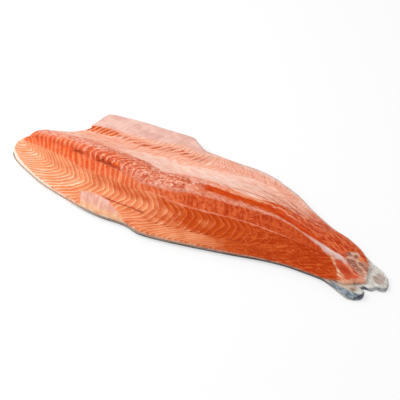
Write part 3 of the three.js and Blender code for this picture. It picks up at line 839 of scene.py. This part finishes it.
# The lobe: flakes with pale edges, broken up towards the middle of the side.
inner = blend(spread(specks, 0.35, 0.65), paint(230, 108, 58), paint(254, 166, 126))
colour = blend(number("lobe"), colour, inner)
pale_arc = spread(ragged, -0.25, 0.1, 0.15, 1.0)
spot = add(tree, "Mapping", {
    "Vector": add(tree, "VectorMath", {
        0: add(tree, "TexCoord").outputs["Object"],
        1: add(tree, "CombineXYZ", {0: times(jagged, 0.006), 1: times(ragged, 0.008)}).outputs[0],
    }, operation="ADD").outputs[0],
    "Rotation": (0, 0, math.radians(-15)), "Scale": (0.011, 0.008, 0.012),
}, vector_type="TEXTURE").outputs[0]
bits = add(tree, "TexVoronoi", {"Vector": spot, "Scale": 1.0})
bit_edges = add(tree, "TexVoronoi", {"Vector": spot, "Scale": 1.0}, feature="DISTANCE_TO_EDGE")
bit_edge = bit_edges.outputs["Distance"]
bit = add(tree, "SeparateColor", {0: bits.outputs["Color"]}).outputs[0]
bit_colour = ramp(bit, [
    (0, paint(198, 74, 34)), (0.25, paint(228, 110, 64)), (0.5, paint(244, 146, 112)),
    (0.75, paint(250, 172, 150)), (1, paint(214, 92, 48)),
])
bit_colour = blend(spread(patches, 0.5, 0.66, 0, 0.6), bit_colour, paint(248, 178, 158))
# Painted highlight along the edges of the broken bits.
bit_colour = blend(times(
    spread(bit_edge, 0.12, 0.03), spread(ragged, -0.12, 0.12), 0.8
), bit_colour, paint(250, 190, 160))
# Painted shade in the gaps between the broken bits.
bit_colour = blend(times(
    spread(bit_edge, 0.2, 0.02), spread(ragged, 0.04, -0.16)
), bit_colour, paint(192, 70, 26))
# The haze over the broken bits: partly pale pink flesh and partly painted sheen.
bit_colour = blend(times(number("haze_and_sheen"), 0.6), bit_colour, paint(255, 210, 194))
colour = blend(times(number("broken"), 0.85), colour, bit_colour)


def lay(colour, name, darker, paler, mottle, keep=1.0, edge=0.5):
    """Lays a kind of flesh over the rest where its number is, with a ragged edge."""
    place = number(name)
    rough_edge = reckon("ADD", place, times(ragged, spread(place, 0, 0.15, 0, edge)))
    cover = spread(rough_edge, 0.15, 0.85, 0, keep)
    return blend(cover, colour, blend(spread(mottle, 0.35, 0.65), darker, paler))


face_edge = reckon("ADD", away, times(jagged, 0.7))
face_colour = blend(spread(face_edge, 0.14, 0.34), paint(246, 130, 74), paint(226, 78, 22))
face_colour = blend(spread(patches, 0.4, 0.7, 0, 0.4), face_colour, paint(244, 132, 98))
colour = blend(times(number("face"), 0.85), colour, face_colour)
colour = lay(colour, "tail", paint(184, 44, 0), paint(238, 122, 72), thin_streaks, 0.88)
# The haze on top of the lobe: partly its own pale pink and partly painted sheen.
colour = lay(colour, "haze_and_sheen", paint(222, 106, 72), paint(255, 198, 178), shreds, 0.85, 0.9)
sheen_haze = number("haze_and_sheen")
# Painted shade just past each pale arc on the haze.
colour = blend(times(arc_shade, sheen_haze, 0.2), colour, paint(226, 124, 94))
colour = blend(times(arc, sheen_haze, pale_arc, 0.65), colour, paint(255, 212, 194))
arcs = number("arcs")
# Painted shade just past each pale arc on the lobe.
painted_shade_by_arcs = times(arc_shade, spread(patches, 0.3, 0.55, 0.4, 1.0), arcs)
colour = blend(painted_shade_by_arcs, colour, paint(198, 74, 32))
bright_arc = times(arc, pale_arc, spread(patches, 0.65, 0.45, 0.4, 1), arcs)
colour = blend(bright_arc, colour, paint(255, 214, 190))
# Painted glints: small pinkish-white highlights on the broken flesh.
crumb_glints = times(spread(crumbs, 0.54, 0.64, 0, 0.75), number("broken"))
colour = blend(crumb_glints, colour, paint(255, 212, 194))
# Painted shade in small gaps of the broken flesh.
crumb_gap_shade = times(spread(crumbs, 0.44, 0.36, 0, 0.55), number("broken"))
colour = blend(crumb_gap_shade, colour, paint(196, 70, 24))

# The lining, the flap, the wall and the ridge of the belly.
lining_dark = blend(number("rosy"), paint(246, 190, 168), paint(236, 156, 128))
lining_dark = blend(number("tail"), lining_dark, paint(216, 112, 74))
lining_pale = blend(number("rosy"), paint(255, 220, 206), paint(254, 202, 180))
lining_grain = blend(number("tail"), fibres, thin_streaks)
colour = lay(colour, "lining", lining_dark, lining_pale, lining_grain)
colour = lay(colour, "flap", paint(226, 174, 160), paint(242, 200, 186), clouds)
flap_lines = times(spread(away, 0.2, 0.45, 0, 0.35), number("flap"), spread(patches, 0.4, 0.6))
colour = blend(flap_lines, colour, paint(208, 152, 142))
colour = lay(colour, "wall", paint(242, 164, 130), paint(252, 198, 174), patches, 0.8, 0.9)
# Painted shade just past each sheet of fat on the wall.
wall_shade = times(wall_sheet_shade, number("wall"), spread(patches, 0.35, 0.6, 0.25, 0.75))
colour = blend(wall_shade, colour, paint(226, 126, 82))
colour = blend(times(wall, number("wall"), 0.75), colour, paint(255, 212, 188))
colour = lay(colour, "ridge_end", paint(224, 94, 34), paint(250, 150, 96), specks, 0.9)
# Painted shade in the narrow gaps between the flakes along the ridge.
ridge_gap_shade = times(spread(away, 0.18, 0.38), spread(ragged, -0.2, 0.05, 0.3, 1.0))
colour = blend(times(ridge_gap_shade, number("ridge"), 0.95), colour, paint(202, 84, 38))
colour = blend(times(sheet, number("ridge"), 0.7), colour, paint(255, 196, 158))
colour = lay(colour, "hatch", paint(244, 176, 150), paint(254, 204, 184), fibres)
hatched = times(spread(fine_away, 0.15, 0.35, 0, 0.7), number("hatch"))
colour = blend(hatched, colour, paint(228, 132, 98))

# The small parts, each over the ones before.
fin_dark = blend(number("low_fin"), paint(224, 158, 138), paint(230, 160, 112))
fin_pale = blend(number("low_fin"), paint(240, 192, 176), paint(244, 194, 150))
sinew_dark = blend(number("silvery"), paint(214, 116, 84), paint(224, 184, 176))
sinew_pale = blend(number("silvery"), paint(244, 170, 146), paint(246, 226, 222))
sinew_grain = blend(number("silvery"), shreds, streaks)
for layer in (
    ("far_edge", paint(226, 176, 160), paint(242, 208, 196), fibres, 0.9),
    ("furrow", paint(186, 88, 56), paint(208, 112, 82), fibres, 0.85, 0.9),
    ("lip", paint(236, 156, 122), paint(248, 200, 172), fibres, 0.6, 2.0),
    ("glow", paint(240, 84, 10), paint(255, 128, 50), specks, 0.85, 0.9),
    # Painted shade: dark brown in the crack, the crease and the gaps at the heels.
    ("crack_shade", paint(150, 48, 12), paint(200, 76, 28), specks, 0.85, 1.6),
    ("crevice", paint(202, 56, 2), paint(222, 84, 12), fibres),
    ("fin", fin_dark, fin_pale, ribs, 0.9, 0.8),
    ("wedge", paint(192, 64, 28), paint(224, 98, 56), clouds),
    ("pale_fat", paint(192, 134, 110), paint(230, 186, 164), patches, 0.95, 0.9),
    ("brown", paint(122, 62, 46), paint(180, 116, 96), specks, 0.82, 2.6),
    ("orange", paint(232, 116, 62), paint(244, 150, 100), specks, 0.9, 0.9),
    ("seam", paint(226, 122, 86), paint(246, 166, 136), fibres, 0.85, 1.0),
    ("tan_end", paint(204, 136, 108), paint(230, 178, 150), patches, 0.75, 1.6),
    ("sinew", sinew_dark, sinew_pale, sinew_grain, 0.9, 0.9),
    ("branch", paint(216, 128, 84), paint(244, 196, 164), shreds, 0.88, 2.0),
    ("fat", paint(252, 220, 198), paint(255, 238, 224), fibres, 1.0, 0.8),
    ("grey", paint(196, 176, 160), paint(224, 212, 202), clouds),
):
    colour = lay(colour, *layer)

# Fibres, lumps and streaks that are too fine for the mesh.
bumps = reckon("ADD", times(line, -0.4), times(fibres, 0.6))
lumpy = times(specks, reckon("ADD", number("lobe"), number("strip"), True))
for part in (
    lumpy, times(bits.outputs["Distance"], number("broken"), -1.5),
    times(end_lines, number("loin_end"), 0.8), times(thin_streaks, number("tail"), 0.8),
):
    bumps = reckon("ADD", bumps, part)
normal = add(tree, "Bump", {"Strength": 0.6, "Distance": 0.001, "Height": bumps}).outputs[0]
shader = add(tree, "BsdfPrincipled", {
    "Base Color": colour, "Roughness": spread(specks, 0.3, 0.7, 0.34, 0.46), "Normal": normal,
    "Subsurface Weight": 0.08, "Subsurface Radius": [1.0, 0.35, 0.2], "Subsurface Scale": 0.0015,
    "Coat Weight": 0.12, "Coat Roughness": 0.25, "IOR": 1.35, "Specular IOR Level": 0.15,
})
add(tree, "OutputMaterial", {"Surface": shader.outputs[0]})

flesh = set_out(flesh_mesh, flesh_look)
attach(flesh, "root")
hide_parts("flesh")

# ---- Skin ----
# The skin that the flesh was left on: a thin sheet, silver under the belly and dark along the back,
# with fine scales outside. It runs past the flesh at the tail, where two bare lobes are left of it.

SKIN_COLUMNS = 200
SKIN_ROWS = 72
END_CROWDING = 0.08  # how far the columns and the rows are drawn towards the ends and the edges
EDGE_CROWDING = 0.13
SKIN_LIP = 1.4  # how far the skin stands up at its edges, in millimetres
WRINKLE_HEIGHT = 0.8
WRINKLE_SIZE = 9
SCALES_PER_METRE = 420.0

skin_mesh = mesh_of(slab(SKIN_COLUMNS, SKIN_ROWS, 0), "skin_piece")
along, across, on_top = corners_of(skin_mesh)
s = along - END_CROWDING * np.sin(2 * math.pi * along)
t = across - EDGE_CROWDING * np.sin(2 * math.pi * across)
x, y = plan_point(s, t)
at_edge = (across < 0.001) | (across > 0.999)
wrinkle = rough(x, y, WRINKLE_SIZE, 5) * ease((s - 0.9) / 0.08)
top_height = skin_top(s, t) + SKIN_LIP * at_edge + WRINKLE_HEIGHT * wrinkle
set_down(skin_mesh, x, y, np.where(on_top, top_height, underside(s, t)))

root = ease((s - 0.915) / 0.02)
side_line = curve([[0, 0.13], [0.93, 0.1], [0.97, 0.15], [1, 0.2]], s)
BACK_DARK = [[0, 0.75], [0.3, 0.8], [0.48, 1], [0.92, 1], [0.96, 0.4], [1, 0.5]]
root_dark = blob(s, t, 0.998, 0.14, 0.006, 0.06) + 0.95 * blob(s, t, 0.996, 0.47, 0.009, 0.035)
give(skin_mesh, {
    "outside": np.where(on_top & ~at_edge, 0, 1),
    "back": (1 - ease((t - 0.25) / 0.45)) * curve(BACK_DARK, s),
    # Paler skin near the collar end of the back edge: partly its pale rim and partly painted light that
    # offsets the shade under the lifted edge.
    "pale_edge": (1 - ease((s - 0.22) / 0.1)) * (1 - ease((t - 0.1) / 0.05)),
    "root": root,
    "silver_side": root * between(t, BEFORE, side_line, 0.03),
    "near_root": root * between(t, side_line, ROOT_NOTCH, 0.06) * ease((0.99 - s) / 0.02),
    "root_brown": blob(s, t, 0.976, 0.845, 0.014, 0.12) + 0.9 * blob(s, t, 0.971, 0.21, 0.007, 0.05),
    "root_dark": root_dark + 0.6 * bell((s - 0.999) / 0.006),
})

skin_look = new_look("silver_skin")
tree = skin_look.node_tree
clouds = grain(0.025, 0.014)
streaks = grain(0.008, 0.0022, -20)
ragged = reckon("SUBTRACT", grain(0.008, 0.005), 0.5)
silver = blend(spread(clouds, 0.3, 0.7), paint(206, 204, 200), paint(236, 232, 226))
dark = blend(spread(clouds, 0.3, 0.7), paint(52, 52, 54), paint(96, 96, 94))
outer = blend(number("back"), silver, dark)
# Paler outside at the collar end of the back edge: partly its pale rim and partly painted light against
# the shade under the edge.
outer = blend(number("pale_edge"), outer, paint(250, 244, 238))
inner = blend(spread(clouds, 0.35, 0.65), paint(214, 190, 174), paint(226, 212, 200))
pale_root = blend(spread(streaks, 0.35, 0.65), paint(216, 210, 200), paint(248, 245, 240))
inner = blend(number("root"), inner, pale_root)
blue_side = blend(spread(streaks, 0.35, 0.65), paint(98, 110, 120), paint(172, 182, 190))
inner = lay(inner, "near_root", paint(180, 156, 132), paint(220, 198, 172), clouds, 0.8, 1.2)
inner = lay(inner, "silver_side", blue_side, blue_side, streaks)
colour = blend(number("outside"), inner, outer)
colour = lay(colour, "root_brown", paint(146, 104, 84), paint(200, 170, 154), streaks, 0.75, 2.6)
colour = lay(colour, "root_dark", paint(34, 38, 50), paint(96, 100, 116), streaks, 0.9)
scales = add(tree, "TexVoronoi", {
    "Vector": add(tree, "TexCoord").outputs["Object"], "Scale": SCALES_PER_METRE,
}).outputs["Distance"]
bumps = reckon("ADD", times(scales, number("outside")), times(streaks, 1.2))
normal = add(tree, "Bump", {"Strength": 0.4, "Distance": 0.0006, "Height": bumps}).outputs[0]
shader = add(tree, "BsdfPrincipled", {
    "Base Color": colour, "Roughness": 0.34, "Normal": normal, "Coat Weight": 0.3, "Coat Roughness": 0.12,
    "Metallic": 0.1,
})
add(tree, "OutputMaterial", {"Surface": shader.outputs[0]})

skin = set_out(skin_mesh, skin_look)
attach(skin, "root")
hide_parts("skin")

# ---- Floor, lights and camera ----
# A plain white table in soft light from all round, with one wide lamp over the collar end. The camera
# looks down from the side of the back edge, a little round towards the tail. Lengths are in metres.

TABLE_HALF = 6  # half its width
TABLE_GREY = 0.4
TABLE_GLOW = 0.6  # the table is lit from inside too, so that shadows stay faint
ROOM_LIGHT = 0.7
ROOM_GLOSS = 0.1  # the room is darker in reflections, so that the wet flesh keeps its colour
LAMP_PLACE = (-0.85, -0.25, 1.15)  # it shines on the middle of the fillet
AZIMUTH, ELEVATION = math.radians(29.5), math.radians(46)
DISTANCE = 1.5
AIM_HEIGHT = 0.012

table_block = bmesh.new()
bmesh.ops.create_grid(table_block, x_segments=1, y_segments=1, size=TABLE_HALF)
table_look = bpy.data.materials.new("white_table")
table_look.use_nodes = True
table_shader = table_look.node_tree.nodes["Principled BSDF"]
for socket, value in (
    ("Base Color", (TABLE_GREY, TABLE_GREY, TABLE_GREY, 1)), ("Roughness", 0.9),
    ("Specular IOR Level", 0.0), ("Emission Color", (1, 1, 1, 1)), ("Emission Strength", TABLE_GLOW),
):
    table_shader.inputs[socket].default_value = value
table_top = set_out(mesh_of(table_block, "table_top"), table_look)

world = bpy.data.worlds.new("soft_room")
bpy.context.scene.world = world
world.use_nodes = True
tree = world.node_tree
glossy = add(tree, "LightPath").outputs["Is Glossy Ray"]
background = tree.nodes["Background"]
background.inputs["Color"].default_value = (1, 1, 1, 1)
tree.links.new(spread(glossy, 0, 1, ROOM_LIGHT, ROOM_GLOSS), background.inputs["Strength"])

lamp = bpy.data.lights.new("wide_lamp", "AREA")
lamp.shape = "RECTANGLE"
lamp.size, lamp.size_y = 1.0, 0.8
lamp.energy = 10
lamp_object = bpy.data.objects.new("wide_lamp", lamp)
lamp_object.location = LAMP_PLACE
lamp_object.rotation_euler = (-Vector(LAMP_PLACE)).to_track_quat("-Z", "Y").to_euler()
bpy.context.scene.collection.objects.link(lamp_object)

backward = Vector((
    math.sin(AZIMUTH) * math.cos(ELEVATION), -math.cos(AZIMUTH) * math.cos(ELEVATION),
    math.sin(ELEVATION),
))
camera = bpy.data.cameras.new("camera")
camera.lens, camera.sensor_width = 93.5, 36
camera_object = bpy.data.objects.new("camera", camera)
camera_object.location = Vector((-centre_x * MM, -centre_y * MM, AIM_HEIGHT)) + backward * DISTANCE
camera_object.rotation_euler = backward.to_track_quat("Z", "Y").to_euler()
bpy.context.scene.collection.objects.link(camera_object)
bpy.context.scene.camera = camera_object
bpy.context.scene.view_settings.view_transform = "Standard"
